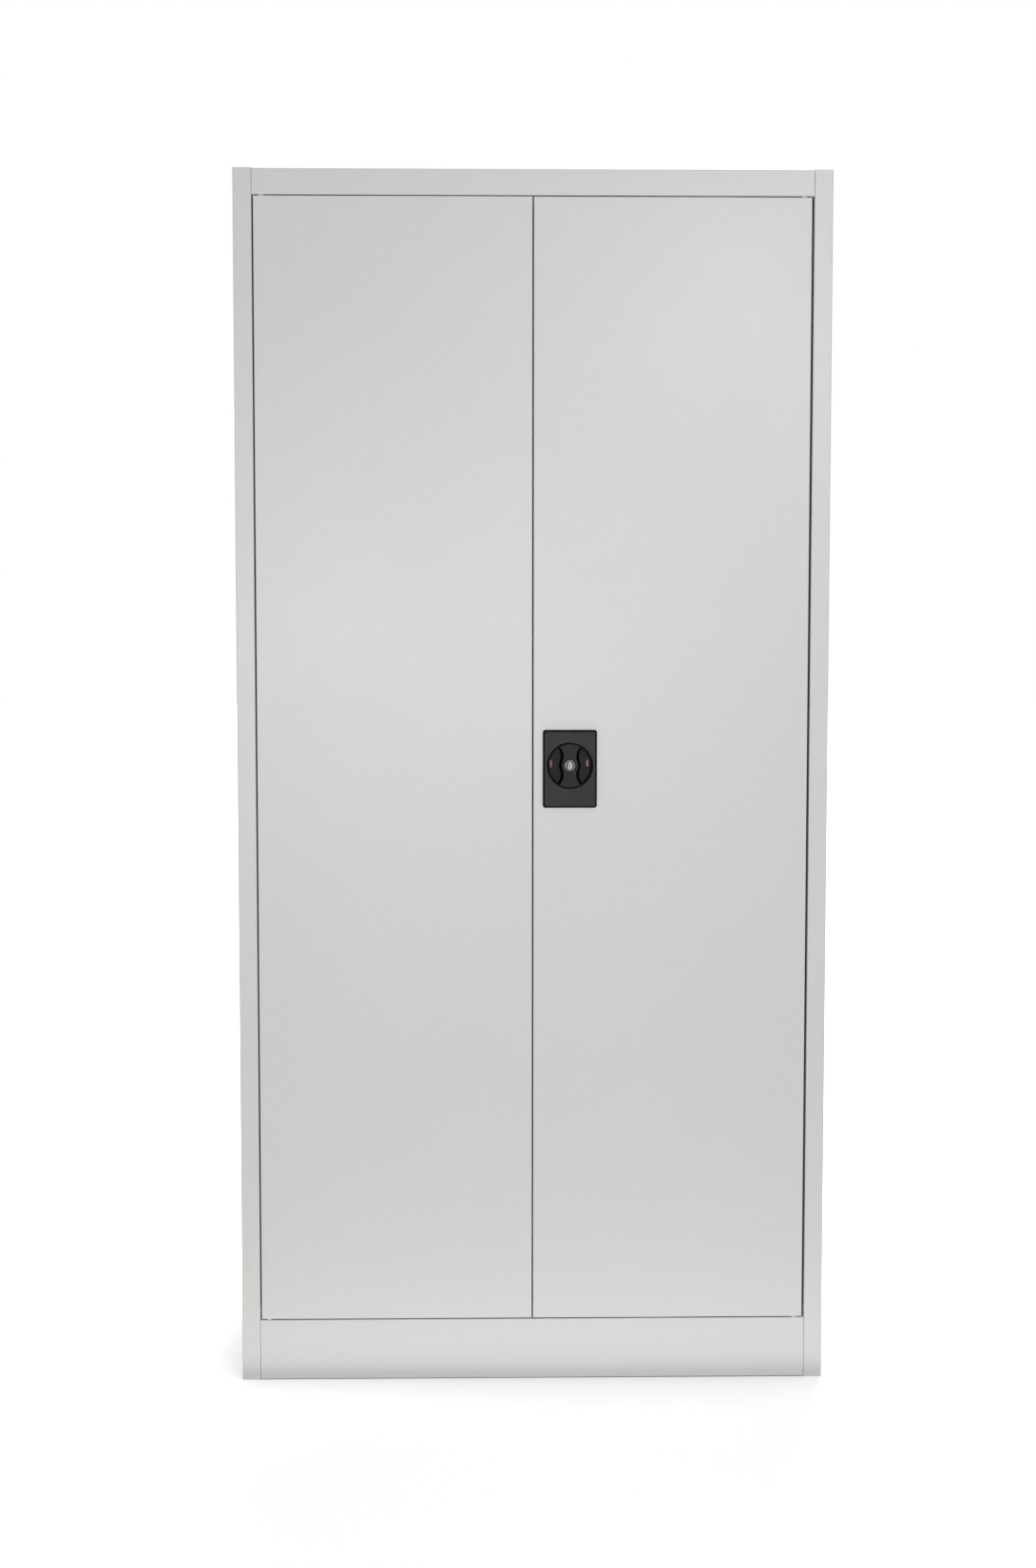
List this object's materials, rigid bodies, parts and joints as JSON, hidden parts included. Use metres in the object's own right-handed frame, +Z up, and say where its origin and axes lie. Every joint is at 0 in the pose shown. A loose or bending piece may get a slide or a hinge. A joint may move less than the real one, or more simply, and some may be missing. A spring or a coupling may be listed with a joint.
{
  "type": "metal storage cabinet",
  "caption": "Tall steel storage cupboard with flush doors that meet in the middle, adjustable shelves, and a turning knob that drives lock rods and a tongue.",
  "frame": {"origin": "on the floor, under the middle of the cupboard with its lock knob", "axes": "+Z up, the doors face -Y, +X to the right of someone looking at the doors"},
  "size_m": [0.9, 0.407, 1.85],
  "materials": {
    "powder_coat": "light grey fine-textured powder coat",
    "zinc_steel": "bright zinc plate",
    "nylon": "white nylon",
    "rubber_pad": "dark grey rubber",
    "black_plastic": "fine-grained black moulding",
    "lock_chrome": "polished chrome plate"
  },
  "bodies": {
    "carcass": {"side_panel_left": "powder_coat", "side_panel_right": "powder_coat", "back_panel": "powder_coat", "top_panel": "powder_coat", "header_rail": "powder_coat", "plinth": "powder_coat", "floor_panel": "powder_coat", "shelf_upright_front_left": "zinc_steel", "shelf_upright_back_left": "zinc_steel", "shelf_upright_front_right": "zinc_steel", "shelf_upright_back_right": "zinc_steel", "shelf_1": "powder_coat", "shelf_2": "powder_coat", "shelf_3": "powder_coat", "shelf_4": "powder_coat", "shelf_1_clip_front_left": "zinc_steel", "shelf_1_clip_back_left": "zinc_steel", "shelf_1_clip_front_right": "zinc_steel", "shelf_1_clip_back_right": "zinc_steel", "shelf_2_clip_front_left": "zinc_steel", "shelf_2_clip_back_left": "zinc_steel", "shelf_2_clip_front_right": "zinc_steel", "shelf_2_clip_back_right": "zinc_steel", "shelf_3_clip_front_left": "zinc_steel", "shelf_3_clip_back_left": "zinc_steel", "shelf_3_clip_front_right": "zinc_steel", "shelf_3_clip_back_right": "zinc_steel", "shelf_4_clip_front_left": "zinc_steel", "shelf_4_clip_back_left": "zinc_steel", "shelf_4_clip_front_right": "zinc_steel", "shelf_4_clip_back_right": "zinc_steel", "pivot_bush_upper_left": "nylon", "pivot_bush_lower_left": "nylon", "pivot_bush_upper_right": "nylon", "pivot_bush_lower_right": "nylon", "door_buffer_upper_left": "rubber_pad", "door_buffer_lower_left": "rubber_pad", "door_buffer_upper_right": "rubber_pad", "door_buffer_lower_right": "rubber_pad"},
    "door_left": {"door_left": "powder_coat", "door_stiffener_left": "powder_coat", "pivot_pin_upper_left": "zinc_steel", "pivot_pin_lower_left": "zinc_steel"},
    "door_right": {"door_right": "powder_coat", "door_stiffener_right": "powder_coat", "pivot_pin_upper_right": "zinc_steel", "pivot_pin_lower_right": "zinc_steel", "lock_plate": "black_plastic", "plate_screw_upper": "zinc_steel", "plate_screw_lower": "zinc_steel", "rod_guide_upper": "zinc_steel", "rod_guide_lower": "zinc_steel"},
    "knob": {"lock_knob": "black_plastic", "lock_barrel": "lock_chrome", "lock_cam": "zinc_steel", "cam_screw": "zinc_steel"},
    "key_plug": {"key_plug": "lock_chrome"},
    "rod_upper": {"lock_rod_upper": "zinc_steel"},
    "rod_lower": {"lock_rod_lower": "zinc_steel"}
  },
  "joints": [
    {"name": "door_left_hinge", "type": "hinge", "parent": "carcass", "child": "door_left", "pos_m": [-0.4084, -0.19, 0.094], "axis": [0, 0, -1], "range_deg": [0, 110]},
    {"name": "door_right_hinge", "type": "hinge", "parent": "carcass", "child": "door_right", "pos_m": [0.4072, -0.19, 0.094], "axis": [0, 0, 1], "range_deg": [0, 110]},
    {"name": "knob_turn", "type": "hinge", "parent": "door_right", "child": "knob", "pos_m": [0.0559, -0.1965, 0.955], "axis": [0, 1, 0], "range_deg": [0, 90]},
    {"name": "key_turn", "type": "hinge", "parent": "knob", "child": "key_plug", "pos_m": [0.0559, -0.1965, 0.955], "axis": [0, 1, 0], "range_deg": [0, 90]},
    {"name": "rod_upper_slide", "type": "slide", "parent": "door_right", "child": "rod_upper", "axis": [0, 0, 1], "range_m": [0, 0.02263]},
    {"name": "rod_lower_slide", "type": "slide", "parent": "door_right", "child": "rod_lower", "axis": [0, 0, -1], "range_m": [0, 0.02263]}
  ],
  "couplings": [
    {"joint": "rod_upper_slide", "follows": "knob_turn", "m_per_rad": 0.014405},
    {"joint": "rod_lower_slide", "follows": "knob_turn", "m_per_rad": 0.014405}
  ]
}
